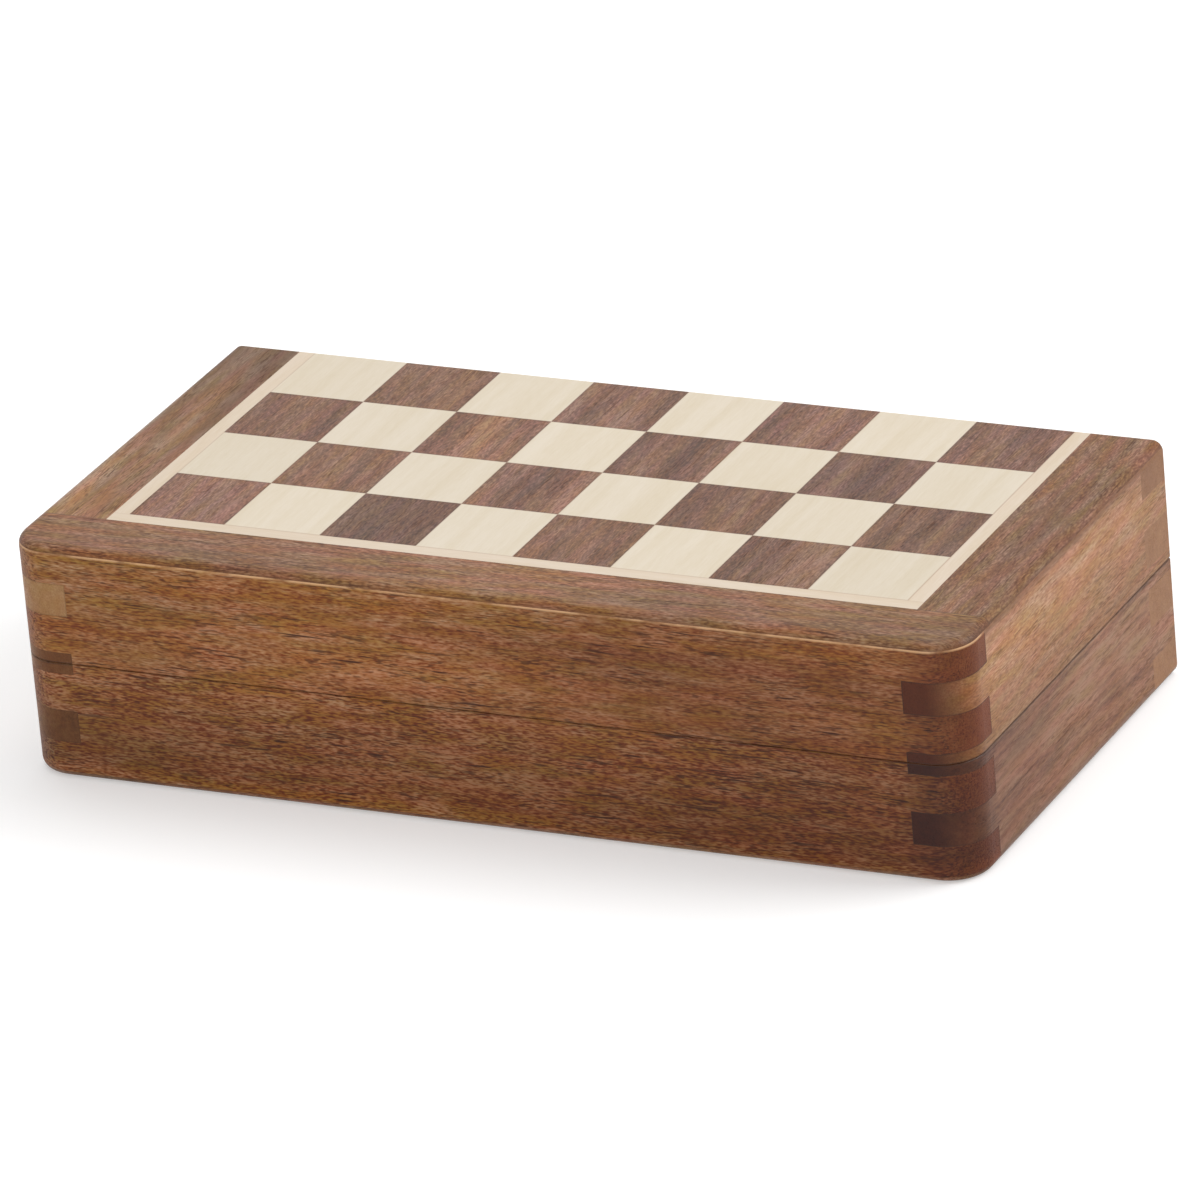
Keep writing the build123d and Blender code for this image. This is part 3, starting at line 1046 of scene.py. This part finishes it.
# ---------------------------------------------------------------- sub-assemblies
@dataclass
class Case:
    """The four finger-jointed walls of one half.

    Attributes:
        half: Which half.
        finger_edges: Heights of the joints between fingers, from the board face, in millimetres.
        finger_line: Width of the line in those joints, in millimetres.
    """

    half: Half
    finger_edges: Triple = (6.9, 12.9, 19.8)
    finger_line: float = 0.24

    # each half's front and sides come from boards of their own, calmer ones on the lid
    FRONT_FIGURE: ClassVar[dict[Half, dict[str, float]]] = {
        Half.BASE: {"growth": 0.5, "streak": 0.7, "fleck": 2.9, "mottle": 1.35, "cloud": 0.5},
        Half.LID: {"growth": 0.75, "streak": 0.6, "fleck": 1.8, "mottle": 1.05, "cloud": 0.7},
    }
    SIDE_FIGURE: ClassVar[dict[Half, dict[str, float]]] = {
        Half.BASE: {"growth": 2.1, "streak": 1.8},
        Half.LID: {"growth": 0.25, "streak": 0.7},
    }

    def finger_lines(self, inner: Sequence[tuple[int, float]], strength: float = 0.6) -> Joints:
        """Lines round the ends of the fingers.

        Args:
            inner: The planes at which this wall's fingers end on its neighbours.
            strength: How much of the lines shows.

        Returns:
            The lines.
        """
        levels = [(Z, self.half.height(z)) for z in self.finger_edges]
        return Joints((*levels, *inner), GAP_SHADE_AND_DIRT, strength, self.finger_line,
                      Faces.ENDS)

    def front_board(self) -> Rosewood:
        """The front wall: red-brown, darker downwards and toward the right corner.

        Returns:
            The board's finish.
        """
        inner_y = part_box(self.half.node("front_wall"))[1].y * TO_MM
        # the seam line is painted shade of the gap between the rims
        lines = [self.finger_lines([(Y, inner_y)]), replace(SEAM, strength=0.4, broken=0.5)]
        if self.half is Half.LID:
            # on the lid, a light line at the glue under the skin, partly a painted highlight of
            # the top round-over
            lines.insert(1, Joints(self.half.glue, "#DDB083", 0.7, 0.45, broken=0.75))
        # the last one darkens the rounded right corner: partly its darker finger ends, partly
        # painted shade of the rounding
        drifts = (Drift(((Z, 28.6, 6.0), (Z, 1.2, 4.2)), "#DAD2C6"),
                  Drift(((Z, 40.0, 36.5),), "#F3EAE7"),
                  Drift(((Z, 38.0, 36.0), (Z, 28.5, 32.0)), "#F7F9FF"),
                  Drift(((X, -53.0, 74.0),), "#DFD2CF"),
                  Drift(((X, 74.0, 84.0), (Y, -36.0, -45.0)), "#C7B195"))
        return Rosewood(
            f"sheesham_{self.half.value}_front", Grain.ALONG_X, (31.0, 4.0, 2.0),
            hues=(("#F6F9F2", "#FCEEE5"), ("#FFFFFF", "#E6DC8C")), pores=0.95,
            end_tint="#CDA561", drifts=drifts, lines=tuple(lines), **self.FRONT_FIGURE[self.half])

    def back_board(self) -> Rosewood:
        """The back wall: plainer and pinker, with nothing painted along its joints.

        Returns:
            The board's finish.
        """
        return replace(
            self.front_board(), name=f"sheesham_{self.half.value}_back", seed=(202.0, 90.0, 40.0),
            dark="#755240", body="#9A725E", gold="#B5907A", end_tint="#FFFFFF", streak=0.6,
            fleck=0.8, mottle=0.3, pores=0.4, lines=(),
            drifts=(Drift(((Z, 34.0, 38.0),), "#F1ECEA", True),))

    def right_board(self) -> Rosewood:
        """The right wall: paler and pinker, darker toward the seam and the front corner.

        Returns:
            The board's finish.
        """
        inner_x = abs(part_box(self.half.node("left_wall"))[1].x) * TO_MM
        # the corner's darkening is partly its darker finger ends, partly painted shade of the
        # rounding
        corner = ((X, 83.0, 89.0), (Y, -34.0, -41.0))
        drifts = [Drift(((Z, 37.6, 20.6),), "#DDD1BC"),
                  Drift(((Z, 20.6, 3.6),), "#F5F0EC"),
                  # painted shade below the round-over along the top edge
                  Drift(((Z, 36.0, 42.0),), "#EBE2DC"),
                  Drift(corner, "#DCCEB5")]
        if self.half is Half.BASE:
            drifts += [Drift(((Z, 22.6, 21.4),), "#EFE8F3"),
                       Drift(((Y, 2.0, -38.0),), "#E2D6CC"),
                       Drift(((Z, 12.0, 18.0), (Y, 15.0, -30.0)), "#E9E2D4"),
                       # more painted shade and darker finger ends at the base's front corner
                       Drift(corner, "#EBE0E1")]
        return Rosewood(
            f"sheesham_{self.half.value}_side", Grain.ALONG_Y, (77.0, 9.0, 31.0),
            dark="#855940", body="#AC7D60", gold="#C49C83", band=8.0, length=170.0, fleck=1.2,
            fleck_length=1.4, mottle=0.65, cloud=0.5, pores=0.4, end_tint="#734A23",
            drifts=tuple(drifts), **self.SIDE_FIGURE[self.half],
            lines=(self.finger_lines([(X, -inner_x), (X, inner_x)]),
                   # a wide dark line at the glue, mostly painted shade below the round-over, then
                   # the painted seam shade
                   Joints(self.half.glue, GLUE_AND_SHADE, 0.55, 1.5), SEAM))

    def left_board(self) -> Rosewood:
        """The left wall: like the right one, with golden finger ends, darker by the seam.

        Returns:
            The board's finish.
        """
        right = self.right_board()
        # it keeps the right wall's painted shade below the top edge, at the glue and along the
        # seam
        fingers, *others = right.lines
        return replace(
            right, name=f"{right.name}_left", seed=(141.0, 66.0, 17.0), end_tint="#F0FFFF",
            lines=(replace(fingers, strength=0.25), *others),
            drifts=(*right.drifts[:3], Drift(((Z, 29.5, 26.0),), "#DCC2A2", True),
                    Drift(((Z, 16.5, 19.0), (Z, 29.5, 26.0)), "#DAD6DC", True),
                    Drift(((Z, 16.5, 14.0),), "#D7D9E1", True)))

    def build(self) -> None:
        """Dresses the walls. The pattern runs on from one half to the other."""
        boards = {"front": self.front_board(), "back": self.back_board(),
                  "right": self.right_board(), "left": self.left_board()}
        for wall, finish in boards.items():
            dress(self.half.node(f"{wall}_wall"), finish.material())


@dataclass
class BoardFace:
    """The board half: squares, maple strips and border over a core with a steel sheet.

    Attributes:
        half: Which half.
        columns: Squares along X.
    """

    half: Half
    columns: int = 8

    def dress_squares(self) -> None:
        """Dresses the squares, whose grid is read from the CAD squares."""
        low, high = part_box(self.half.node("light_squares"))
        grid = SquareGrid((low.x * TO_MM, low.y * TO_MM),
                          (high.x - low.x) * TO_MM / self.columns)
        dark = RosewoodSquares(
            f"sheesham_veneer_{self.half.value}_squares", Grain.ALONG_Y, (5.0, 9.0, 3.0),
            dark="#553C3B", body="#7C5A59", gold="#9C7A77", band=6.0, length=120.0,
            growth=1.45, streak=0.85, fleck=1.5, fleck_length=1.05, mottle=0.45, cloud=0.3,
            pores=0.5, grid=grid)
        light = Maple(f"maple_veneer_{self.half.value}_squares", Grain.ALONG_Y, grid=grid)
        dress(self.half.node("dark_squares"), dark.material())
        dress(self.half.node("light_squares"), light.material())

    def dress_strips(self) -> None:
        """Dresses the maple strips, with fine lines where they meet the squares."""
        low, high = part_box(self.half.node("light_squares"))
        meetings = {"front": (Y, low.y, 0.35), "left": (X, low.x, 0.2), "right": (X, high.x, 0.6)}
        for side, (axis, plane, strength) in meetings.items():
            name = self.half.node(f"{side}_maple_strip")
            finish = Maple(f"maple_strip_{name}",
                           Grain.ALONG_X if side == "front" else Grain.ALONG_Y,
                           pale="#D4C4B1", straw="#CCB9A0",
                           lines=(Joints(((axis, plane * TO_MM),), "#A8836B", strength, 0.2),))
            dress(name, finish.material())

    def dress_border(self) -> None:
        """Dresses the border strips, each with its own tone."""
        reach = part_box(self.half.node("left_border"))[0].y * TO_MM
        butt = Joints(((Y, reach),), "#3D281C", 0.5, 0.2)
        # the dark line at the glue is partly painted shade at the foot of the round-over
        plain = Rosewood("border", Grain.ALONG_Y, dark="#643F2E", body="#815A47",
                         gold="#A07B65", mottle=0.85, band=4.0, growth=1.1, fleck=1.7,
                         pores=0.75, end_tint="#A08A80",
                         lines=(butt, Joints(self.half.glue, GLUE_AND_SHADE, 0.6, 0.5)))
        looks = {
            "front": replace(plain, grain=Grain.ALONG_X, seed=(61.0, 23.0, 5.0),
                             body="#8D6146", growth=0.75, fleck=2.2, fleck_length=1.1,
                             cloud=1.1, pores=0.9,
                             lines=(butt, Joints(self.half.glue, GLUE_AND_SHADE, 0.45, 0.4))),
            "left": replace(plain, seed=(17.0, 81.0, 3.0), band=7.0, dark="#6A4632",
                            body="#88634E", gold="#A9876F", growth=1.8, streak=0.2, fleck=0.8,
                            fleck_length=1.2, cloud=1.2),
            "right": replace(plain, seed=(93.0, 12.0, 8.0), growth=0.85, streak=0.35,
                             fleck_length=1.0),
        }
        for side, finish in looks.items():
            name = self.half.node(f"{side}_border")
            dress(name, replace(finish, name=f"sheesham_{name}").material())

    def dress_core(self) -> None:
        """Dresses the panel and the steel sheet that the skin covers."""
        core = self.half.node("core_panel")
        panel = Plywood(f"birch_plywood_{core}", bottom=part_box(core)[0].z * TO_MM)
        dress(core, panel.material())
        sheet = Metal(f"mild_steel_{self.half.value}_sheet", MetalTone.STEEL)
        dress(self.half.node("steel_sheet"), sheet.material())

    def build(self) -> None:
        """Dresses the board face."""
        self.dress_squares()
        self.dress_strips()
        self.dress_border()
        self.dress_core()


@dataclass
class FeltTray:
    """The felt lining of one half and the felted dividers between the chessmen's slots.

    Attributes:
        half: Which half.
        felt: The finish of all of them.
        thickness: Thickness of the lining, in millimetres.
        corner: Radius of the felt in the inside corners, in millimetres.
        crown: Radius along the top edges of the dividers, in millimetres.
        ribs: How many short dividers stand in a row.
    """

    half: Half
    felt: Material
    thickness: float = 0.8
    corner: float = 1.6
    crown: float = 1.3
    ribs: int = 7

    def place(self, node: str) -> tuple[Vector, Vector]:
        """Corners of a node in the base's place, whichever half it belongs to."""
        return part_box(Half.BASE.node(node))

    def add_felted(self, mesh: BMesh, name: str, node: str) -> bpy.types.Object:
        """Adds a piece of felt, or covered with it, in the place of that node."""
        return add_piece(mesh, self.half.node(name), self.half, self.felt, self.half.node(node))

    def add_lining(self) -> None:
        """One sheet of felt over the floor and up the four walls, with soft inside corners."""
        low, high = self.place("felt_lining")
        inset = Vector((1, 1, 1)) * self.thickness * MM
        inside_low, inside_high = low + inset, high - inset
        inside_high.z = high.z
        mesh = box_mesh(inside_low, inside_high)
        top = [f for f in mesh.faces if f.normal.z > LOOKS_UP]
        bmesh.ops.delete(mesh, geom=top, context="FACES")
        round_edges(mesh, [e for e in mesh.edges if len(e.link_faces) == 2], self.corner, 4)
        bmesh.ops.recalc_face_normals(mesh, faces=mesh.faces)
        bmesh.ops.solidify(mesh, geom=mesh.faces, thickness=-self.thickness * MM)
        piece = self.add_felted(mesh, "felt_sheet", "felt_lining")
        self.half.node("core_panel")

    def divider(self, low: Vector, high: Vector) -> BMesh:
        """A felted batten with a rounded top.

        Args:
            low: Lowest corner, in metres.
            high: Highest corner, in metres.

        Returns:
            The batten's bmesh in the base's place.
        """
        mesh = box_mesh(low, high)
        axis = X if high.x - low.x > high.y - low.y else Y
        crest = [e for e in mesh.edges if all(v.co.z > high.z - TINY for v in e.verts)
                 and abs(e.verts[0].co[axis] - e.verts[1].co[axis]) > TINY]
        round_edges(mesh, crest, self.crown, 5)
        return mesh

    def add_rail(self) -> None:
        """The long divider."""
        self.add_felted(self.divider(*self.place("long_rail")), "felted_rail", "long_rail")

    def add_ribs(self, row: str) -> None:
        """The short dividers of one row, evenly spaced between the first and the last.

        The gap before the first rib is as wide as the gaps between them.

        Args:
            row: "officer" or "pawn".
        """
        low, high = self.place(f"{row}_ribs")
        gap = low.x - self.place("long_rail")[0].x
        wide = (high.x - low.x - (self.ribs - 1) * gap) / self.ribs
        mesh = bmesh.new()
        for number in range(self.ribs):
            x = low.x + number * (high.x - low.x - wide) / (self.ribs - 1)
            join(mesh, self.divider(Vector((x, low.y, low.z)),
                                    Vector((x + wide, high.y, high.z))))
        self.add_felted(mesh, f"felted_{row}_ribs", f"{row}_ribs")

    def build(self) -> None:
        """Builds the lining and the dividers."""
        self.add_lining()
        self.add_rail()
        for row in ("officer", "pawn"):
            self.add_ribs(row)


@dataclass
class Closure:
    """The two disc magnets let into the front rim of one half.

    Attributes:
        half: Which half.
        nickel: Their finish.
        rim: Radius of the disc's edges, in millimetres.
        sides: Faces round a disc.
    """

    half: Half
    nickel: Material
    rim: float = 0.35
    sides: int = 64

    def build(self) -> None:
        """Builds both discs in the place of the CAD ones."""
        low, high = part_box(Half.BASE.node("closure_magnets"))
        radius = (high.y - low.y) / 2
        mesh = bmesh.new()
        for side in Side:
            centre = (side.value * (high.x - radius), low.y + radius, (low.z + high.z) / 2)
            add_rod(mesh, Matrix.Translation(centre), (radius, high.z - low.z), self.sides,
                    self.rim, 3)
        add_piece(mesh, f"{self.half.value}_disc_magnets", self.half, self.nickel,
                  self.half.node("closure_magnets"))


@dataclass
class ButtHinge:
    """One butt hinge: two rolled leaves and the pin through their knuckles.

    Attributes:
        side: Which hinge.
        brass: The finish of all its pieces.
        easing: Rounding of the stamped edges, in millimetres.
        flat: Largest angle across an edge of a flat, in degrees.
        crisp: Least angle across an edge that is eased, in degrees.
        peen: Radius of the pin's rounded ends, in millimetres.
        sides: Faces round the pin.
    """

    side: Side
    brass: Material
    easing: float = 0.1
    flat: float = 2.0
    crisp: float = 40.0
    peen: float = 0.3
    sides: int = 48

    def add_leaf(self, half: Half) -> None:
        """A copy of the CAD leaf, merged, with its flats made whole and its edges eased.

        Args:
            half: The half that the leaf is screwed to.
        """
        hinge = f"{self.side.word}_hinge_{half.value}"
        mesh = bmesh.new()
        mesh.from_mesh(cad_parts[f"{hinge}_leaf"].data)
        bmesh.ops.remove_doubles(mesh, verts=mesh.verts, dist=TINY)
        bmesh.ops.dissolve_limit(mesh, angle_limit=math.radians(self.flat), verts=mesh.verts,
                                 edges=mesh.edges)
        piece = add_piece(mesh, f"{hinge}_plate", half, self.brass, f"{hinge}_leaf",
                          in_base=False)
        eased = piece.modifiers.new("eased_edges", "BEVEL")
        eased.width = self.easing * MM
        eased.segments = 2
        eased.limit_method = "ANGLE"
        eased.angle_limit = math.radians(self.crisp)
        eased.harden_normals = True

    def add_pin(self) -> None:
        """The pin, with both ends peened round."""
        hinge = f"{self.side.word}_hinge"
        low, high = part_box(f"{hinge}_pin")
        mesh = bmesh.new()
        place = Matrix.Translation((low + high) / 2) @ Matrix.Rotation(math.pi / 2, 4, "Y")
        add_rod(mesh, place, ((high.z - low.z) / 2, high.x - low.x), self.sides, self.peen, 4)
        add_piece(mesh, f"{hinge}_peened_pin", Half.BASE, self.brass, f"{hinge}_pin")

    def build(self) -> None:
        """Builds the hinge."""
        for half in Half:
            self.add_leaf(half)
        self.add_pin()


@dataclass
class LeafScrews:
    """The four slotted, countersunk wood screws of one half.

    Attributes:
        half: Which half.
        brass: Their finish.
        head: Radius of the head, in millimetres.
        shank: Radius of the shank, in millimetres.
        taper: Radius of the shank's tip, as a share of the shank's.
        turns: Turn of the first screw's slot and each next one's, in radians.
        offset: From the middle of a hinge to a screw, in millimetres.
        slot: Width of the slot, in millimetres.
        slot_depth: Depth of the slot, in millimetres.
        rim: Width of the chamfer round the head, in millimetres.
        crisp: Least angle across an edge that is shaded sharp, in degrees.
        sides: Faces round a screw.
    """

    half: Half
    brass: Material
    head: float = 1.8
    shank: float = 0.8
    taper: float = 0.75
    turns: Pair = (0.5, 1.1)
    offset: float = 6.5
    slot: float = 0.5
    slot_depth: float = 0.45
    rim: float = 0.12
    crisp: float = 35.0
    sides: int = 40

    SLOPE: ClassVar[float] = 1.1      # how far the floor is shorter, for one of the slot's depth

    def cut_slot(self, mesh: BMesh) -> None:
        """Sinks the slot into the head, with a floor a little shorter than its mouth.

        Args:
            mesh: The screw's bmesh, head up.
        """
        for way in (-1, 1):
            bmesh.ops.bisect_plane(mesh, geom=mesh.verts[:] + mesh.edges[:] + mesh.faces[:],
                                   plane_co=(way * self.slot * MM / 2, 0, 0),
                                   plane_no=(1, 0, 0))
        strip = [f for f in mesh.faces if f.normal.z > LOOKS_UP
                 and abs(f.calc_center_median().x) < self.slot * MM / 2]
        self.draw_out(mesh, strip, -self.slot_depth * MM,
                      (1, 1 - self.SLOPE * self.slot_depth / self.head, 1))

    def draw_out(self, mesh: BMesh, faces: list[bmesh.types.BMFace], rise: float,
                 scale: Triple) -> None:
        """Extrudes some faces up or down and scales their end.

        Args:
            mesh: The screw's bmesh.
            faces: The faces, which are left out of the finished skin.
            rise: How far up they go, in metres.
            scale: What their end is scaled by.
        """
        grown = bmesh.ops.extrude_face_region(mesh, geom=faces)
        bmesh.ops.delete(mesh, geom=faces, context="FACES_ONLY")
        end = [v for v in grown["geom"] if isinstance(v, bmesh.types.BMVert)]
        bmesh.ops.translate(mesh, verts=end, vec=(0, 0, rise))
        bmesh.ops.scale(mesh, verts=end, vec=scale)

    def screw(self, turn: float, length: float) -> BMesh:
        """One screw, head up, with the middle of its head at the origin.

        Args:
            turn: Where its slot points, in radians.
            length: Its length in metres.

        Returns:
            The screw's bmesh.
        """
        cone = (self.head - self.shank) * MM
        mesh = bmesh.new()
        bmesh.ops.create_cone(mesh, cap_ends=True, segments=self.sides,
                              radius1=self.shank * MM, radius2=self.head * MM, depth=cone,
                              matrix=Matrix.Translation((0, 0, -cone / 2)))
        foot = min(mesh.faces, key=lambda f: f.calc_center_median().z)
        brim = [e for e in mesh.edges if all(v.co.z > -TINY for v in e.verts)]
        round_edges(mesh, brim, self.rim, 1)
        self.draw_out(mesh, [foot], cone - length, (self.taper, self.taper, 1))
        self.cut_slot(mesh)
        bmesh.ops.rotate(mesh, verts=mesh.verts, matrix=Matrix.Rotation(turn, 3, "Z"))
        return mesh

    def build(self) -> None:
        """Builds the screws in the place of the CAD ones, each with its own turn of slot."""
        low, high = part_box(Half.BASE.node("hinge_screws"))
        first, step = self.turns
        middle = (high.x - self.head * MM) - self.offset * MM
        mesh = bmesh.new()
        for number, (side, way) in enumerate((s, w) for s in Side for w in (-1, 1)):
            # the lid's height makes its screws stop at other turns than the base's
            turn = first + step * number + self.half.height(0)
            screw = self.screw(turn, high.z - low.z)
            x = side.value * middle + way * self.offset * MM
            bmesh.ops.translate(screw, verts=screw.verts,
                                vec=(x, (low.y + high.y) / 2, high.z))
            join(mesh, screw)
        piece = add_piece(mesh, f"{self.half.value}_slotted_screws", self.half, self.brass,
                          self.half.node("hinge_screws"))
        piece.data.set_sharp_from_angle(angle=math.radians(self.crisp))


# ---------------------------------------------------------------- studio
@dataclass(frozen=True)
class Lamp:
    """A square soft lamp that faces the box.

    Attributes:
        name: Its name.
        place: Where it hangs, in metres.
        power: Its power in watts.
        size: Its side in metres.
    """

    name: str
    place: Triple
    power: float
    size: float

    def build(self) -> None:
        """Hangs the lamp."""
        data = bpy.data.lights.new(self.name, "AREA")
        data.energy, data.size = self.power, self.size
        place = Vector(self.place)
        turn = place.to_track_quat("Z", "Y").to_matrix().to_4x4()
        new_object(self.name, data).matrix_world = Matrix.Translation(place) @ turn


@dataclass
class Studio:
    """A pale floor, soft lamps, a white surround and a long lens from the front right.

    Attributes:
        world: Strength of the surround as light.
        floor: Colour of the floor.
        glow: Strength of the floor's own white on camera.
        floor_size: Half of the floor's side, in metres.
        lamps: A large lamp behind and to the right, one overhead and one in front.
        sensor: Width of the camera's sensor, in millimetres.
        lens: Its focal length, in millimetres.
        eye: Where the camera stands, in metres.
        back: Direction from what it looks at toward the camera.
        roll: Its roll in degrees, as of a hand-held view.
    """

    world: float = 0.45
    floor: str = "#E6E6E6"
    glow: float = 0.3
    floor_size: float = 6.0
    lamps: tuple[Lamp, ...] = (Lamp("key_lamp", (1.5, 0.9, 1.3), 29.0, 1.4),
                               Lamp("top_lamp", (-0.2, 0.5, 1.9), 13.0, 1.6),
                               Lamp("fill_lamp", (0.3, -2.0, 0.9), 17.0, 1.4))
    sensor: float = 36.0
    lens: float = 332.15
    eye: Triple = (0.786294, -1.551516, 0.789007)
    back: Triple = (0.41327, -0.81649, 0.40317)
    roll: float = -5.130

    def seen(self, graph: Graph) -> Socket:
        """Tells the rays that see a surface from those that only carry its light.

        Args:
            graph: The graph of the floor or of the surround.

        Returns:
            One on camera, glossy and transmission rays, zero on the rest.
        """
        rays = graph.add("LightPath").node.outputs
        total = graph.add("Math ADD", rays["Is Camera Ray"], rays["Is Glossy Ray"])
        return graph.add("Math ADD", total, rays["Is Transmission Ray"], use_clamp=True)

    def add_floor(self) -> None:
        """A wide floor whose own white shows to the camera, with the object's shadow on it."""
        graph = Graph("studio_paper")
        diffuse = graph.add("BsdfDiffuse", {"Color": self.floor})
        strength = graph.add("Math MULTIPLY", self.seen(graph), self.glow)
        glow = graph.add("Emission", {"Color": "#FFFFFF", "Strength": strength})
        both = graph.add("AddShader", diffuse, glow)
        graph.add("OutputMaterial", {"Surface": both})
        mesh = bmesh.new()
        bmesh.ops.create_grid(mesh, x_segments=1, y_segments=1, size=self.floor_size)
        floor = new_object("floor", new_mesh(mesh, "floor"))
        floor.data.materials.append(graph.owner)

    def add_world(self) -> None:
        """A plain white surround, full white where it is seen or mirrored."""
        graph = Graph("studio_surround", "worlds")
        strength = graph.add("MapRange", self.seen(graph), {3: self.world, 4: 1.0})
        light = graph.add("Background", {"Color": "#FFFFFF", "Strength": strength})
        graph.add("OutputWorld", {"Surface": light})
        bpy.context.scene.world = graph.owner

    def add_camera(self) -> None:
        """Sets up the camera, at a distance that a long lens suits."""
        data = bpy.data.cameras.new("camera")
        data.sensor_width, data.lens = self.sensor, self.lens
        back = Vector(self.back).normalized()
        level = Vector((0, 0, 1)).cross(back).normalized()
        right = Matrix.Rotation(math.radians(self.roll), 4, back) @ level
        turn = Matrix((right, back.cross(right), back)).transposed().to_4x4()
        camera = new_object("camera", data)
        camera.matrix_world = Matrix.Translation(self.eye) @ turn
        bpy.context.scene.camera = camera

    def build(self) -> None:
        """Sets up the whole studio."""
        self.add_floor()
        self.add_world()
        for lamp in self.lamps:
            lamp.build()
        self.add_camera()
        bpy.context.scene.view_settings.view_transform = "Standard"


def main() -> None:
    """Builds the box, half by half, then its hinges and the studio."""
    felt = Felt("wool_felt_green").material()
    nickel = Metal("nickel_plate", MetalTone.NICKEL).material()
    brass = Metal("rolled_brass", MetalTone.BRASS).material()
    for half in Half:
        Case(half).build()
        BoardFace(half).build()
        FeltTray(half, felt).build()
        Closure(half, nickel).build()
        LeafScrews(half, brass).build()
    for side in Side:
        ButtHinge(side, brass).build()
    Studio().build()


if __name__ == "__main__":
    logging.basicConfig(level=logging.INFO, format="%(message)s")
    main()
